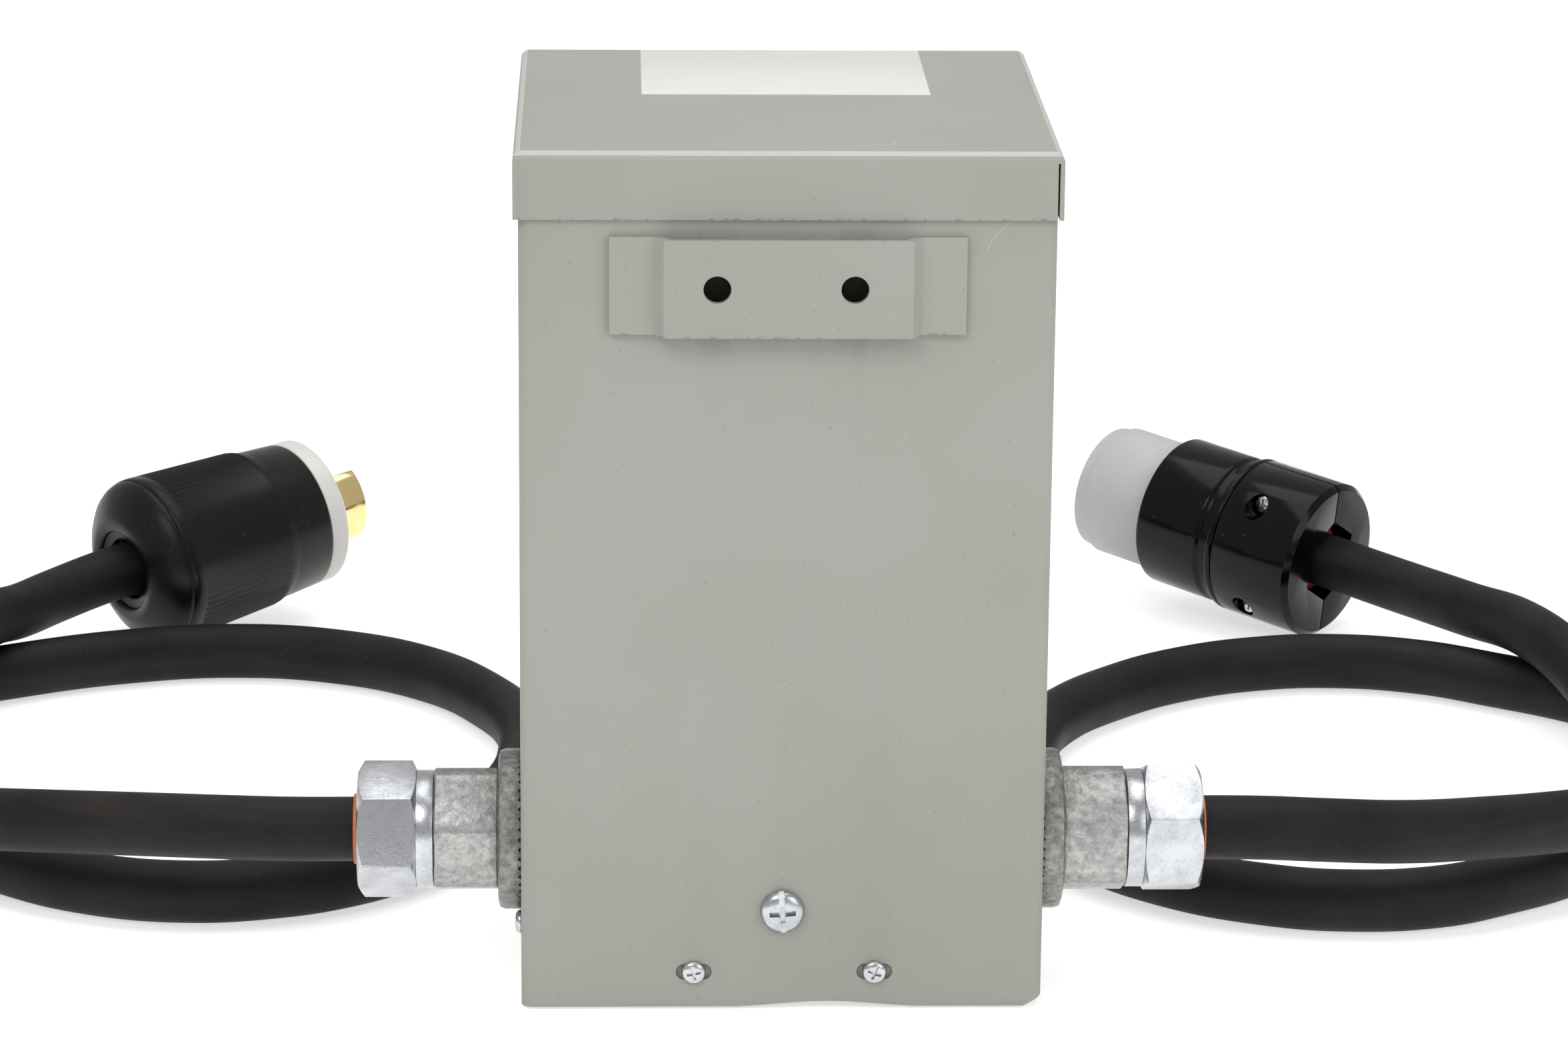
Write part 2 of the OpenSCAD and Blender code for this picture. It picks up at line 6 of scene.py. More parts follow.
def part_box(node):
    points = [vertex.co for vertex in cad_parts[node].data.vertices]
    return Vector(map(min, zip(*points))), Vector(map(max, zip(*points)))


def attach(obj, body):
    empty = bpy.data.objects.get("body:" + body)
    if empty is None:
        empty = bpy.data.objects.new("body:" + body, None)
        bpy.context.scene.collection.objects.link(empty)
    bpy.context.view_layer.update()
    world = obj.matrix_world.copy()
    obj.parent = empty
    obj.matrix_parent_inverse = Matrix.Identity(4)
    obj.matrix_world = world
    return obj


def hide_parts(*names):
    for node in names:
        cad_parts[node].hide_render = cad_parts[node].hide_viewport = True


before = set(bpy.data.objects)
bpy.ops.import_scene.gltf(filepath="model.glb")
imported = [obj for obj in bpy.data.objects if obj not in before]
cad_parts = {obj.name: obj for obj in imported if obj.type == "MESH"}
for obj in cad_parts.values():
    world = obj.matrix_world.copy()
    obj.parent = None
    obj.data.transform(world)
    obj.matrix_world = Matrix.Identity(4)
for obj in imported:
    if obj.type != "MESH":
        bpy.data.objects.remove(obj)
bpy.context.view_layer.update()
mm = 0.001


# small helpers for picking, shaping and placing

def pickOnly(*objects):
    if bpy.context.mode != "OBJECT":
        bpy.ops.object.mode_set(mode="OBJECT")
    bpy.ops.object.select_all(action="DESELECT")
    for o in objects:
        o.select_set(True)
    bpy.context.view_layer.objects.active = objects[-1]


def editMesh(o):
    pickOnly(o)
    bpy.ops.object.mode_set(mode="EDIT")


def objectMode():
    bpy.ops.object.mode_set(mode="OBJECT")


def selectWhere(o, test):  # test takes a vertex position, on an object in edit mode
    objectMode()
    for v in o.data.vertices:
        v.select = bool(test(v.co))
    for e in o.data.edges:
        e.select = all(o.data.vertices[i].select for i in e.vertices)
    for p in o.data.polygons:
        p.select = all(o.data.vertices[i].select for i in p.vertices)
    bpy.ops.object.mode_set(mode="EDIT")


def applyPlace(o, place=None):
    if place is not None:
        o.matrix_world = place @ o.matrix_world
    pickOnly(o)
    bpy.ops.object.transform_apply(location=True, rotation=True, scale=True)


def fixNormals(o):
    editMesh(o)
    bpy.ops.mesh.select_all(action="SELECT")
    bpy.ops.mesh.remove_doubles(threshold=0.00001)
    bpy.ops.mesh.normals_make_consistent(inside=False)
    objectMode()


def roundEdges(o, width, segments=2, angle=30):
    m = o.modifiers.new("edges", "BEVEL")
    m.width = width
    m.segments = segments
    m.limit_method = "ANGLE"
    m.angle_limit = math.radians(angle)
    m.miter_outer = "MITER_ARC"
    pickOnly(o)
    bpy.ops.object.modifier_apply(modifier=m.name)


def smooth(o, angle=35):
    pickOnly(o)
    bpy.ops.object.shade_smooth_by_angle(angle=math.radians(angle))


def cutAway(o, cutter):
    m = o.modifiers.new("cut", "BOOLEAN")
    m.operation = "DIFFERENCE"
    m.solver = "EXACT"
    m.object = cutter
    pickOnly(o)
    bpy.ops.object.modifier_apply(modifier=m.name)
    bpy.data.objects.remove(cutter)


def turned(name, rings, sides=96, closed=True):  # rings are (height, radius) in mm, from the first cap to the last
    z0, r0 = rings[0]
    bpy.ops.mesh.primitive_circle_add(vertices=sides, radius=r0 * mm, fill_type="NGON" if closed else "NOTHING",
                                      location=(0, 0, z0 * mm))
    o = bpy.context.active_object
    o.name = name
    applyPlace(o)
    editMesh(o)
    bpy.ops.mesh.select_all(action="SELECT")
    z, r = z0, r0
    for zNext, rNext in rings[1:]:
        bpy.ops.mesh.extrude_region_move(TRANSFORM_OT_translate={"value": (0, 0, (zNext - z) * mm)})
        k = rNext / r
        bpy.ops.transform.resize(value=(k, k, 1), center_override=(0, 0, 0))
        z, r = zNext, rNext
    objectMode()
    fixNormals(o)
    return o


def finish(o, material, replaced=(), smoothAngle=None):
    if smoothAngle is not None:
        smooth(o, smoothAngle)
    o.data.materials.clear()
    o.data.materials.append(material)
    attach(o, "root")
    if replaced:
        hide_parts(*replaced)
    return o


def refined(node, name, width, segments=2, angle=30):  # a copy of a frame piece with its edges rounded
    pickOnly(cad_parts[node])
    bpy.ops.object.duplicate()
    o = bpy.context.active_object
    o.parent = None
    for key in list(o.keys()):
        del o[key]
    o.name = name
    o.data.name = name
    o.data.materials.clear()
    if o.data.has_custom_normals:
        bpy.ops.mesh.customdata_custom_splitnormals_clear()
    editMesh(o)
    bpy.ops.mesh.select_all(action="SELECT")
    bpy.ops.mesh.remove_doubles(threshold=0.000004)
    bpy.ops.mesh.dissolve_limited(angle_limit=math.radians(0.6))
    objectMode()
    roundEdges(o, width, segments, angle)
    return o


# camera

cameraSettings = {"place": (-0.04511, -1.41757, 0.51526), "aim": (0.03187, 0.96250, -0.27127), "lens": 123.03}


def makeCamera():
    aim = Vector(cameraSettings["aim"]).normalized()
    right = (Vector((1, 0, 0)) - aim * aim.x).normalized()
    up = right.cross(aim)
    turn = Matrix((right, up, -aim)).transposed()
    data = bpy.data.cameras.new("camera")
    data.lens = cameraSettings["lens"]
    data.sensor_width = 36
    data.clip_start = 0.05
    camera = bpy.data.objects.new("camera", data)
    bpy.context.scene.collection.objects.link(camera)
    camera.matrix_world = Matrix.Translation(cameraSettings["place"]) @ turn.to_4x4()
    bpy.context.scene.camera = camera


makeCamera()
print("camera is up")


# shader helpers and shared effects

class Net:  # a shader tree with short calls for nodes and links
    def __init__(self, tree):
        self.tree = tree

    def add(self, kind, **values):
        n = self.tree.nodes.new("ShaderNode" + kind)
        for key, value in values.items():
            setattr(n, key, value)
        return n

    def join(self, out, into):
        self.tree.links.new(out, into)

    def feed(self, socket, value):
        if isinstance(value, bpy.types.NodeSocket):
            self.join(value, socket)
        else:
            socket.default_value = value

    def math(self, operation, a, b=0.0, clamp=False):
        n = self.add("Math", operation=operation, use_clamp=clamp)
        self.feed(n.inputs[0], a)
        self.feed(n.inputs[1], b)
        return n.outputs[0]

    def mix(self, factor, a, b):
        n = self.add("Mix", data_type="RGBA")
        self.feed(n.inputs[0], factor)
        self.feed(n.inputs[6], a)
        self.feed(n.inputs[7], b)
        return n.outputs[2]

    def range(self, value, low, high, toLow=0.0, toHigh=1.0):
        n = self.add("MapRange", clamp=True)
        for socket, v in zip(n.inputs, (value, low, high, toLow, toHigh)):
            self.feed(socket, v)
        return n.outputs[0]

    def noise(self, place, scale, detail=2.0, rough=0.5, distortion=0.0):
        n = self.add("TexNoise")
        self.feed(n.inputs["Vector"], place)
        self.feed(n.inputs["Scale"], scale)
        self.feed(n.inputs["Detail"], detail)
        self.feed(n.inputs["Roughness"], rough)
        self.feed(n.inputs["Distortion"], distortion)
        return n.outputs[0]

    def stretch(self, place, scale):
        n = self.add("Mapping")
        self.feed(n.inputs["Vector"], place)
        n.inputs["Scale"].default_value = scale
        return n.outputs[0]


def newGroup(name, inputs, outputs):
    tree = bpy.data.node_groups.new(name, "ShaderNodeTree")
    for label, value in inputs:
        if label == "Place":
            tree.interface.new_socket(label, in_out="INPUT", socket_type="NodeSocketVector")
        else:
            tree.interface.new_socket(label, in_out="INPUT", socket_type="NodeSocketFloat").default_value = value
    for label in outputs:
        tree.interface.new_socket(label, in_out="OUTPUT", socket_type="NodeSocketFloat")
    net = Net(tree)
    return tree, net, tree.nodes.new("NodeGroupInput"), tree.nodes.new("NodeGroupOutput")


def makeSpecks():  # fine dust: round specks at random places
    tree, net, given, out = newGroup("dustSpecks", [("Place", 0), ("Scale", 300.0), ("Size", 0.2), ("Share", 0.2)], ["Mask"])
    cells = net.add("TexVoronoi", feature="F1")
    net.join(given.outputs["Place"], cells.inputs["Vector"])
    net.join(given.outputs["Scale"], cells.inputs["Scale"])
    near = net.math("LESS_THAN", cells.outputs["Distance"], given.outputs["Size"])
    parts = net.add("SeparateColor")
    net.join(cells.outputs["Color"], parts.inputs[0])
    some = net.math("LESS_THAN", parts.outputs[0], given.outputs["Share"])
    net.join(net.math("MULTIPLY", near, some), out.inputs["Mask"])
    return tree


def makeScratches():  # thin wandering hairlines, kept to patches
    tree, net, given, out = newGroup("hairlines", [("Place", 0), ("Scale", 9.0), ("Width", 0.004), ("Share", 0.5)], ["Mask"])
    field = net.noise(given.outputs["Place"], given.outputs["Scale"], 1.0, 0.4, 1.2)
    off = net.math("ABSOLUTE", net.math("SUBTRACT", field, 0.5))
    line = net.math("LESS_THAN", off, given.outputs["Width"])
    patch = net.noise(given.outputs["Place"], net.math("MULTIPLY", given.outputs["Scale"], 2.7), 2.0)
    here = net.math("GREATER_THAN", patch, net.math("SUBTRACT", 1.0, given.outputs["Share"]))
    net.join(net.math("MULTIPLY", line, here), out.inputs["Mask"])
    return tree


def makeBand():  # a band in patches round a level edge at one height: rubbed wear on the cap lip and bracket, and a painted highlight along the cap's top fold
    tree, net, given, out = newGroup("wearAndHighlightBand", [("Place", 0), ("Height", 0.0), ("Width", 0.001), ("Share", 0.5)], ["Mask"])
    parts = net.add("SeparateXYZ")
    net.join(given.outputs["Place"], parts.inputs[0])
    off = net.math("ABSOLUTE", net.math("SUBTRACT", parts.outputs[2], given.outputs["Height"]))
    near = net.math("LESS_THAN", off, given.outputs["Width"])
    patch = net.noise(given.outputs["Place"], 420.0, 4.0, 0.65)
    here = net.math("GREATER_THAN", patch, net.math("SUBTRACT", 1.0, given.outputs["Share"]))
    net.join(net.math("MULTIPLY", near, here), out.inputs["Mask"])
    return tree


specks = makeSpecks()
hairlines = makeScratches()
wearAndHighlightBand = makeBand()


def place(net):
    return net.add("TexCoord").outputs["Object"]


def effect(net, group, where, **values):
    n = net.add("Group", node_tree=group)
    net.join(where, n.inputs["Place"])
    for key, value in values.items():
        net.feed(n.inputs[key], value)
    return n.outputs["Mask"]


def newMaterial(name, roughness=0.5, metallic=0.0, specular=0.5, coat=0.0):
    m = bpy.data.materials.new(name)
    m.use_nodes = True
    net = Net(m.node_tree)
    shader = m.node_tree.nodes["Principled BSDF"]
    shader.inputs["Roughness"].default_value = roughness
    shader.inputs["Metallic"].default_value = metallic
    shader.inputs["Specular IOR Level"].default_value = specular
    shader.inputs["Coat Weight"].default_value = coat
    return m, net, shader


def bump(net, shader, height, distance, strength=1.0):
    n = net.add("Bump")
    n.inputs["Strength"].default_value = strength
    n.inputs["Distance"].default_value = distance
    net.join(height, n.inputs["Height"])
    net.join(n.outputs[0], shader.inputs["Normal"])


def rgb(r, g, b):  # a colour written as it looks on screen, 0 to 255
    return tuple(((v / 255) / 12.92 if v <= 10 else ((v / 255 + 0.055) / 1.055) ** 2.4) for v in (r, g, b)) + (1.0,)


# the fold height in these settings places a painted highlight line along the cap's top fold
paintSettings = {"color": rgb(180, 181, 173), "shade": rgb(172, 173, 164), "dark": rgb(96, 95, 90),
                 "light": rgb(214, 215, 209), "foldHighlightHeight": 0.2338, "lipHeight": 0.2166, "bracketHeight": 0.1864}


def makePaint(name="greyPaint", rubbed=None, foldHighlight=None):  # rubbed is the height of a worn edge; the last height places a painted highlight line along a fold
    s = paintSettings
    m, net, shader = newMaterial(name, specular=0.4)
    where = place(net)
    cloud = net.noise(where, 9.0, 3.0, 0.55)
    color = net.mix(net.range(cloud, 0.35, 0.65), s["color"], s["shade"])
    grain = net.noise(where, 1500.0, 2.0)
    color = net.mix(net.range(grain, 0.3, 0.7, 0.0, 0.16), color, s["shade"])
    fine = effect(net, specks, where, Scale=620.0, Size=0.15, Share=0.035)
    color = net.mix(net.math("MULTIPLY", fine, 0.38), color, s["dark"])
    pale = effect(net, specks, where, Scale=520.0, Size=0.13, Share=0.05)
    color = net.mix(net.math("MULTIPLY", pale, 0.5), color, s["light"])
    lines = effect(net, hairlines, where, Scale=14.0, Width=0.0009, Share=0.36)
    color = net.mix(net.math("MULTIPLY", lines, 0.28), color, s["light"])
    worn = lines
    if rubbed:
        worn = effect(net, wearAndHighlightBand, where, Height=rubbed, Width=0.0005, Share=0.44)
        color = net.mix(net.math("MULTIPLY", worn, 0.4), color, s["dark"])
    # painted highlight: a pale line along the cap's top fold, where the bend catches the light
    if foldHighlight:
        edge = effect(net, wearAndHighlightBand, where, Height=foldHighlight, Width=0.0005, Share=0.95)
        color = net.mix(net.math("MULTIPLY", edge, 0.75), color, s["light"])
    net.join(color, shader.inputs["Base Color"])
    net.join(net.range(cloud, 0.3, 0.7, 0.42, 0.54), shader.inputs["Roughness"])
    height = net.math("ADD", net.math("MULTIPLY", grain, 0.25), net.noise(where, 420.0, 2.0))
    height = net.math("SUBTRACT", height, net.math("MULTIPLY", net.math("MAXIMUM", lines, worn), 0.8))
    bump(net, shader, height, 0.00003, 0.5)
    return m


def makeMetal(name, color, dark, roughness, grainScale, depth, metallic=1.0, blotch=0.35, cloudScale=130.0):
    m, net, shader = newMaterial(name)
    where = place(net)
    cloud = net.noise(where, cloudScale, 5.0, 0.7)
    base = net.mix(net.range(cloud, 0.38, 0.66, 0.0, blotch), color, dark)
    pits = effect(net, specks, where, Scale=1500.0, Size=0.28, Share=0.13)
    base = net.mix(net.math("MULTIPLY", pits, 0.45), base, dark)
    lines = effect(net, hairlines, where, Scale=90.0, Width=0.004, Share=0.48)
    base = net.mix(net.math("MULTIPLY", lines, 0.35), base, color)
    net.join(base, shader.inputs["Base Color"])
    shader.inputs["Metallic"].default_value = metallic
    net.join(net.range(cloud, 0.3, 0.7, roughness - 0.06, roughness + 0.1), shader.inputs["Roughness"])
    grain = net.noise(where, grainScale, 5.0, 0.68)
    height = net.math("SUBTRACT", grain, net.math("MULTIPLY", net.math("MAXIMUM", pits, lines), 0.5))
    bump(net, shader, height, depth, 0.8)
    return m


def makePlastic(name, color, other, roughness, specular=0.5, coat=0.0, grainScale=900.0, depth=0.00002, dust=None):
    m, net, shader = newMaterial(name, roughness, 0.0, specular, coat)
    where = place(net)
    cloud = net.noise(where, 45.0, 3.0, 0.55)
    base = net.mix(net.range(cloud, 0.35, 0.65), color, other)
    if dust:
        fine = effect(net, specks, where, Scale=620.0, Size=0.2, Share=0.03)
        base = net.mix(net.math("MULTIPLY", fine, 0.4), base, dust)
    net.join(base, shader.inputs["Base Color"])
    net.join(net.range(cloud, 0.3, 0.7, roughness - 0.05, roughness + 0.05), shader.inputs["Roughness"])
    bump(net, shader, net.noise(where, grainScale, 2.0), depth, 0.5)
    return m


rubberSettings = {"color": rgb(34, 34, 35), "shade": rgb(25, 25, 26), "dust": rgb(66, 58, 51), "pale": rgb(100, 97, 94)}


def makeRubber():
    s = rubberSettings
    m, net, shader = newMaterial("blackRubber", 0.55, 0.0, 0.2)
    where = place(net)
    cloud = net.noise(where, 30.0, 3.0, 0.6)
    base = net.mix(net.range(cloud, 0.35, 0.65), s["color"], s["shade"])
    streak = net.noise(net.stretch(where, (7.0, 7.0, 70.0)), 1.6, 3.0, 0.55)
    base = net.mix(net.range(streak, 0.52, 0.75, 0.0, 0.42), base, s["dust"])
    fine = effect(net, specks, where, Scale=430.0, Size=0.11, Share=0.03)
    base = net.mix(net.math("MULTIPLY", fine, 0.4), base, s["pale"])
    net.join(base, shader.inputs["Base Color"])
    net.join(net.range(cloud, 0.3, 0.7, 0.5, 0.62), shader.inputs["Roughness"])
    height = net.math("ADD", net.noise(where, 1400.0, 2.0), net.noise(net.stretch(where, (1.0, 1.0, 4.0)), 160.0, 3.0))
    bump(net, shader, height, 0.00004, 0.6)
    return m


paint = makePaint()
capPaint = makePaint("capPaint", paintSettings["lipHeight"], paintSettings["foldHighlightHeight"])
bracketPaint = makePaint("bracketPaint", paintSettings["bracketHeight"])
zinc = makeMetal("brightZinc", rgb(206, 208, 211), rgb(118, 121, 126), 0.17, 1400.0, 0.00006)
casting = makeMetal("roughCasting", rgb(188, 188, 186), rgb(108, 108, 106), 0.3, 620.0, 0.0003, 0.9, 0.6, 420.0)
ringCasting = makeMetal("darkCasting", rgb(158, 157, 154), rgb(84, 84, 82), 0.36, 620.0, 0.0003, 0.9, 0.7, 420.0)
brass = makeMetal("bladeBrass", rgb(244, 220, 160), rgb(214, 176, 96), 0.1, 500.0, 0.000006, 1.0, 0.2)
rubber = makeRubber()
plugBlack = makePlastic("satinNylon", rgb(17, 17, 18), rgb(12, 12, 13), 0.34, 0.26, dust=rgb(90, 90, 90))
glossBlack = makePlastic("glossNylon", rgb(9, 9, 10), rgb(6, 6, 7), 0.16, 0.2, 0.0, dust=rgb(90, 88, 86))
whiteNylon = makePlastic("whiteNylon", rgb(238, 237, 231), rgb(231, 230, 223), 0.34)
greyNylon = makePlastic("greyNylon", rgb(208, 209, 211), rgb(200, 201, 203), 0.5, 0.4, depth=0.00004)
orange = makePlastic("orangeRubber", rgb(222, 122, 66), rgb(205, 104, 52), 0.5)
red = makePlastic("redRubber", rgb(190, 34, 24), rgb(150, 20, 16), 0.5)
potting = makePlastic("potting", rgb(70, 67, 62), rgb(52, 50, 46), 0.8, grainScale=300.0, depth=0.0002)
labelFilm = makePlastic("blankFilm", rgb(243, 242, 238), rgb(238, 237, 232), 0.35)
print("materials are mixed")


# cords

cordSettings = {
    "diameter": 0.0175,
    "leftExit": (-0.1151, -0.042, 0.0415),
    "rightExit": (0.1151, -0.042, 0.0415),
    "leftRoute": [
        (-108.1, -42, 41.5), (-132, -42, 41.5), (-150, -39, 41), (-170, -31, 39),
        (-192, -20, 36), (-215, -6, 32), (-238, 11, 27), (-262, 34, 20),
        (-284, 64, 13), (-297, 98, 9.5), (-298, 132, 8.75), (-286, 163, 8.75),
        (-264, 188, 8.75), (-239, 204, 8.75), (-200, 222, 8.75), (-166, 228, 8.75),
        (-134, 222, 8.75), (-104, 203, 8.75), (-83, 173, 8.75), (-72.5, 143, 8.75),
        (-71.5, 117, 8.75), (-75, 92, 8.75), (-81.5, 70, 8.75), (-89.5, 50, 8.75),
        (-102.5, 28, 8.75), (-120, 12, 8.75), (-141, 2.5, 8.75), (-165, -0.5, 8.75),
        (-191, 6, 8.75), (-218, 24, 8.75), (-241, 49, 8.75), (-257, 79, 8.75),
        (-265, 110, 11), (-263, 142, 17.5), (-253, 172, 24.5), (-241.5, 204, 26.6),
        (-234, 221, 24.2), (-224.5, 237.5, 24.2), (-210, 252.9, 26.2), (-199, 261.5, 27.7)],
    "rightRoute": [
        (108.1, -42, 41.5), (132, -42, 41.3), (148, -41, 40.3), (171, -36, 38),
        (196, -24, 35), (220, -7, 31), (243, 15, 26), (263, 41, 19),
        (278, 71, 12.5), (286, 102, 9), (285, 132, 8.75), (274, 160, 8.75),
        (254, 181, 8.75), (235, 195, 8.75), (211, 210, 8.75), (184, 216, 8.75),
        (160, 213, 8.75), (135, 202, 8.75), (112, 183, 8.75), (92, 157, 8.75),
        (81, 126, 8.75), (79, 95, 8.75), (82, 65, 8.75), (90, 37, 8.75),
        (111, 11, 8.75), (138, -5, 8.75), (160, -10, 8.75), (186, -7, 8.75),
        (207, 4, 8.75), (226, 18, 8.75), (243, 38, 8.75), (255, 65, 8.75),
        (261, 96, 9.5), (261, 128, 14), (255, 158, 22), (243, 190, 27),
        (228, 219, 25.4), (208, 252, 24.4), (190.5, 270.5, 26.2), (178, 281, 28)],
}


def makeCord(name, route, node):
    data = bpy.data.curves.new(name, "CURVE")
    data.dimensions = "3D"
    data.bevel_depth = cordSettings["diameter"] / 2
    data.bevel_resolution = 10
    data.resolution_u = 8
    data.render_resolution_u = 8
    data.use_fill_caps = True
    line = data.splines.new("BEZIER")
    line.bezier_points.add(len(route) - 1)
    for point, spot in zip(line.bezier_points, route):
        point.co = Vector(spot) * mm
        point.handle_left_type = point.handle_right_type = "AUTO"
    line.use_smooth = True
    o = bpy.data.objects.new(name, data)
    bpy.context.scene.collection.objects.link(o)
    data.materials.append(rubber)
    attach(o, "root")
    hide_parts(node)
    return o


leftCord = makeCord("leftLead", cordSettings["leftRoute"], "left_cord")
rightCord = makeCord("rightLead", cordSettings["rightRoute"], "right_cord")
print("cords are laid")


# sheet metal case, cap and bracket

sheetEdges = {"case_wrap": ("caseSheet", 0.35, paint), "front_panel": ("frontSheet", 0.3, paint),
              "wiring_cover": ("coverSheet", 0.3, paint), "foot_pan": ("footPan", 0.3, paint),
              "cap": ("capLid", 0.3, capPaint), "wall_bracket": ("hangerBracket", 0.9, bracketPaint)}

edgeSettings = {"middle": 12, "span": 27, "bow": 1.5, "clipWide": 4.8, "clipHigh": 2.6, "steps": 18}


def bowEdge(o):  # the lower edge of the bracket side arches a little
    s = edgeSettings
    editMesh(o)
    for i in range(1, s["steps"]):
        bpy.ops.mesh.select_all(action="SELECT")
        x = s["middle"] - s["span"] + 2 * s["span"] * i / s["steps"]
        bpy.ops.mesh.bisect(plane_co=(x * mm, 0, 0), plane_no=(1, 0, 0))
    bpy.ops.mesh.select_all(action="SELECT")
    bpy.ops.mesh.bisect(plane_co=(0, 0, 5 * mm), plane_no=(0, 0, 1))
    bpy.ops.mesh.select_all(action="SELECT")
    bpy.ops.mesh.bisect(plane_co=(0, -60 * mm, 0), plane_no=(0, 1, 0))
    objectMode()
    for v in o.data.vertices:
        u = (v.co.x / mm - s["middle"]) / s["span"]
        if v.co.z < 4 * mm and v.co.y < -61 * mm and abs(u) < 1:
            v.co.z += s["bow"] * mm * (0.5 + 0.5 * math.cos(math.pi * u))


def clipCorner(o):  # the lower right corner of the bracket side slants up
    s = edgeSettings
    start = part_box("case_wrap")[1].x - s["clipWide"] * mm
    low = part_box("case_wrap")[0].z
    editMesh(o)
    bpy.ops.mesh.select_all(action="SELECT")
    bpy.ops.mesh.bisect(plane_co=(start, 0, 0), plane_no=(1, 0, 0))
    bpy.ops.mesh.select_all(action="SELECT")
    bpy.ops.mesh.bisect(plane_co=(0, 0, low + s["clipHigh"] * mm), plane_no=(0, 0, 1))
    objectMode()
    for v in o.data.vertices:
        if v.co.x > start and v.co.y < -61 * mm:
            v.co.z = max(v.co.z, low + s["clipHigh"] / s["clipWide"] * (v.co.x - start))


def closeSeam(o):  # the left front corner of the lid is welded shut, so its slit is filled
    low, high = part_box("cap")
    bpy.ops.mesh.primitive_cube_add(size=1, location=(low.x + 1.05 * mm, low.y + 0.75 * mm, (low.z + high.z) / 2 - 0.4 * mm))
    fill = bpy.context.active_object
    fill.scale = (1.9 * mm, 1.3 * mm, high.z - low.z - 1 * mm)
    applyPlace(fill)
    roundEdges(fill, 0.3 * mm, 3)
    pickOnly(fill, o)
    bpy.ops.object.join()


for node, (name, width, coat) in sheetEdges.items():
    sheet = refined(node, name, width * mm, 3)
    if node == "cap":
        closeSeam(sheet)
    if node in ("case_wrap", "foot_pan"):
        bowEdge(sheet)
        clipCorner(sheet)
    finish(sheet, coat, [node], 30)
finish(refined("plain_label", "blankPlate", 0.06 * mm), labelFilm, ["plain_label"], 30)
print("case is folded")


# screws

screwSettings = {
    "slot_screw_left": ("slotScrewA", (-23.6, -70, 10.5), "-Y", 3.2, 12), "slot_screw_right": ("slotScrewB", (24.8, -70, 10.5), "-Y", 3.2, 68),
    "earth_screw": ("earthScrew", (0, -70, 27.9), "-Y", 5.95, 4), "side_screw": ("sideScrew", (-69.7, -55, 19.5), "-X", 3.2, 30),
    "cover_screw_left": ("coverScrewA", (-62.5, 70, 40), "+Y", 3.2, 40), "cover_screw_right": ("coverScrewB", (62.5, 70, 40), "+Y", 3.2, 75)}
facing = {"-Y": Matrix.Rotation(math.radians(90), 4, "X"), "+Y": Matrix.Rotation(math.radians(-90), 4, "X"),
          "-X": Matrix.Rotation(math.radians(-90), 4, "Y")}


def crossCutter(reach, width, depth, top, pointed):  # one arm of a driver recess, or a straight slot
    bpy.ops.mesh.primitive_cube_add(size=1, location=(0, 0, top))
    o = bpy.context.active_object
    o.scale = (2 * reach, width, 2 * depth)
    applyPlace(o)
    if pointed:
        editMesh(o)
        selectWhere(o, lambda p: p.z < top)
        bpy.ops.transform.resize(value=(0.75, 0.8, 1), center_override=(0, 0, 0))
        objectMode()
    return o


def makeScrew(node, name, at, way, r, turn):
    high = 0.56 * r
    dome = [(-3.5, 0.45 * r), (0.02, 0.46 * r), (0.03, 0.97 * r), (0.10 * r, r), (0.22 * r, 0.985 * r), (0.34 * r, 0.93 * r),
            (0.44 * r, 0.82 * r), (0.51 * r, 0.66 * r), (0.545 * r, 0.45 * r), (high, 0.2 * r)]
    o = turned(name, dome, 64)
    big = r > 5
    for angle, reach, width in ((0, 0.68, 0.25), (90, 0.68, 0.25), (45, 0.26, 0.42)):
        arm = crossCutter(reach * r * mm, width * r * mm, 0.46 * r * mm, high * mm, True)
        applyPlace(arm, Matrix.Rotation(math.radians(angle), 4, "Z"))
        cutAway(o, arm)
    if big:
        slot = crossCutter(1.2 * r * mm, 0.25 * r * mm, 0.38 * r * mm, high * mm, False)
        applyPlace(slot, Matrix.Rotation(math.radians(90), 4, "Z"))
        cutAway(o, slot)
    roundEdges(o, 0.12 * mm, 2, 40)
    applyPlace(o, Matrix.Translation(Vector(at) * mm) @ facing[way] @ Matrix.Rotation(math.radians(turn), 4, "Z"))
    return finish(o, zinc, [node], 35)


for node, (name, at, way, r, turn) in screwSettings.items():
    makeScrew(node, name, at, way, r, turn)
print("screws are in")


# cord glands

for side in ("left", "right"):
    finish(refined(side + "_toothed_ring", side + "SealingRing", 0.12 * mm, 2, 50), ringCasting, [side + "_toothed_ring"], 40)
    finish(refined(side + "_gland_body", side + "CastBody", 0.8 * mm, 3), casting, [side + "_gland_body"], 40)
    finish(refined(side + "_gland_collar", side + "Collar", 0.4 * mm), zinc, [side + "_gland_collar"], 40)
    finish(refined(side + "_gland_nut", side + "HexNut", 0.35 * mm, 3, 12), zinc, [side + "_gland_nut"], 30)
    finish(refined(side + "_bush", side + "Bush", 0.3 * mm), orange, [side + "_bush"], 40)
print("glands are cast")


# plug on the left cord

def onEnd(at, turn):
    return (Matrix.Translation(Vector(at) * mm) @ Matrix.Rotation(math.radians(turn[1]), 4, "Z")
            @ Matrix.Rotation(math.radians(turn[0]), 4, "Y") @ Matrix.Rotation(math.radians(90), 4, "Y"))


plugSettings = {"at": (-199, 261.5, 27.7), "turn": (-6.2, 38), "flutes": 72, "fluteDepth": 0.7}
plugPlace = onEnd(plugSettings["at"], plugSettings["turn"])


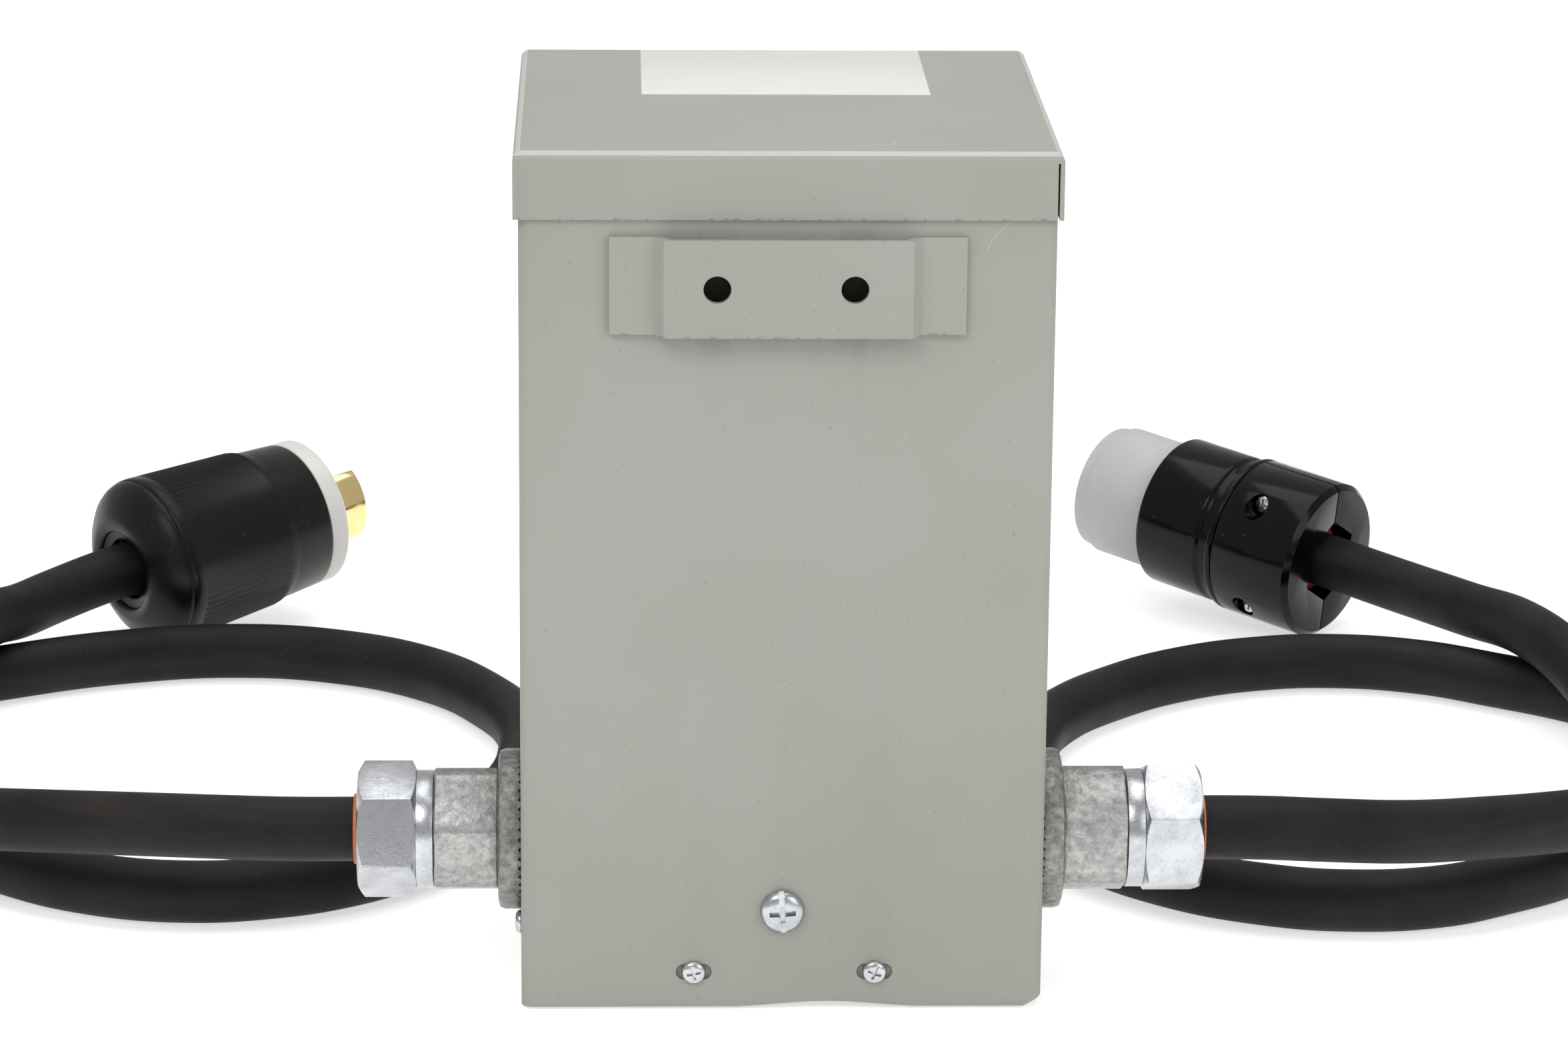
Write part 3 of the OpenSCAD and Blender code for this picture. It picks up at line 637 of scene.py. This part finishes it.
def makePlugShell():
    outer = [(0, 12.4), (-3.4, 12.6), (-3.6, 10.6), (-3.9, 10.1), (-4.6, 10.1), (-5, 10.6), (-5.1, 12.6), (-5.3, 13),
             (-6.4, 13.2), (-6.9, 13.8), (-7, 16), (-6.7, 17.2), (-5.6, 19.2), (-3.4, 23), (-1, 25.9), (1, 27.2), (2.2, 27.6),
             (2.8, 27.4), (3.2, 27.9), (5, 28), (7, 27.95), (8, 27.9), (42, 26.3), (43.4, 26), (45.6, 25.3), (46.6, 25.1),
             (59, 24.3), (59.8, 24), (60, 23.4)]
    o = turned("plugShell", outer, plugSettings["flutes"] * 2)
    editMesh(o)
    step = math.pi / plugSettings["flutes"]

    def inFlute(p):
        return 7.5 * mm < p.z < 42.5 * mm and round(math.atan2(p.y, p.x) / step) % 2 == 0
    selectWhere(o, inFlute)
    k = 1 - plugSettings["fluteDepth"] / 27
    bpy.ops.transform.resize(value=(k, k, 1), center_override=(0, 0, 0))
    objectMode()
    applyPlace(o, plugPlace)
    return finish(o, plugBlack, ["plug_shell"], 50)


plugPieces = [makePlugShell()]
for node, name, width, material, slot in (
        ("plug_seal", "plugGrommet", 0.6, rubber, "black_rubber"), ("plug_flange", "plugFlange", 0.5, whiteNylon, "white_nylon"),
        ("plug_blade_upper", "bladeUpper", 0.3, brass, "brass"), ("plug_blade_near", "bladeNear", 0.3, brass, "brass"),
        ("plug_blade_far", "bladeFar", 0.3, brass, "brass")):
    plugPieces.append(finish(refined(node, name, width * mm, 3), material, [node], 40))
print("plug is wired")


# connector on the right cord

connectorPieces = []
for node, name, width, material, slot in (
        ("cord_seal", "cordSeal", 0.3, red, "red_rubber"), ("jaw_near", "jawNear", 0.9, glossBlack, "black_gloss"),
        ("jaw_far", "jawFar", 0.9, glossBlack, "black_gloss"), ("jaw_screws", "jawScrews", 0.3, zinc, "zinc"),
        ("connector_ring", "connectorRing", 0.4, glossBlack, "black_gloss"),
        ("connector_shell", "connectorShell", 0.6, glossBlack, "black_gloss"),
        ("connector_face", "connectorFace", 0.5, greyNylon, "grey_nylon")):
    connectorPieces.append(finish(refined(node, name, width * mm, 3), material, [node], 40))

connectorSettings = {"at": (190.5, 270.5, 26.2), "turn": (-6.5, 140), "rimIn": 18.4, "rimOut": 20.6, "grow": 1.2, "back": 2.1}


def stepFace(o):  # a wider, deeper step round the front rim
    s = connectorSettings
    out = onEnd(s["at"], s["turn"])
    back = out.inverted()
    spots = [back @ v.co for v in o.data.vertices]
    front = max(p.z for p in spots)
    for v, p in zip(o.data.vertices, spots):
        r = math.hypot(p.x, p.y) / mm
        depth = (front - p.z) / mm
        if depth < 3.4 and r > s["rimIn"]:
            k = (r + s["grow"]) / r if r < s["rimOut"] else 1
            drop = s["back"] * mm if depth > 1.2 else 0
            v.co = out @ Vector((p.x * k, p.y * k, p.z - drop))


stepFace(connectorPieces[-1])
print("connector is wired")

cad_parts["potted_core"].data.materials.clear()
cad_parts["potted_core"].data.materials.append(potting)


# floor, world and lamps

def makeFloor():
    bpy.ops.mesh.primitive_plane_add(size=30, location=(0, 0, -0.0002))
    floor = bpy.context.active_object
    floor.name = "floor"
    m, net, shader = newMaterial("paleFloor", 0.9, 0.0, 0.1)
    shader.inputs["Base Color"].default_value = (0.92, 0.92, 0.92, 1)
    rays = net.add("LightPath")
    seen = net.math("MAXIMUM", rays.outputs["Is Camera Ray"],
                    net.math("MAXIMUM", rays.outputs["Is Glossy Ray"], rays.outputs["Is Transmission Ray"]))
    shader.inputs["Emission Color"].default_value = (1, 1, 1, 1)
    net.join(net.math("MULTIPLY", seen, 0.6), shader.inputs["Emission Strength"])
    floor.data.materials.append(m)


def makeWorld():
    world = bpy.data.worlds.new("studio")
    bpy.context.scene.world = world
    world.use_nodes = True
    net = Net(world.node_tree)
    back = world.node_tree.nodes["Background"]
    rays = net.add("LightPath")
    seen = net.math("MAXIMUM", rays.outputs["Is Camera Ray"], rays.outputs["Is Transmission Ray"])
    back.inputs["Color"].default_value = (1, 1, 1, 1)
    net.join(net.range(seen, 0.0, 1.0, 0.52, 1.0), back.inputs["Strength"])


def makeLamp(name, spot, target, size, power):
    data = bpy.data.lights.new(name, "AREA")
    data.shape = "RECTANGLE"
    data.size, data.size_y = size
    data.energy = power
    o = bpy.data.objects.new(name, data)
    bpy.context.scene.collection.objects.link(o)
    o.location = spot
    o.rotation_euler = (Vector(target) - Vector(spot)).to_track_quat("-Z", "Y").to_euler()


lamps = [("key", (-0.9, -1.6, 1.9), (0, 0, 0.1), (1.4, 1.0), 13.5),
         ("fill", (1.4, -1.5, 1.1), (0, 0, 0.1), (1.2, 1.2), 7.5),
         ("top", (0.1, 0.4, 2.2), (0, 0.1, 0), (1.8, 1.8), 15)]

makeFloor()
makeWorld()
for lamp in lamps:
    makeLamp(*lamp)
bpy.context.scene.view_settings.view_transform = "Standard"
print("lights are on")
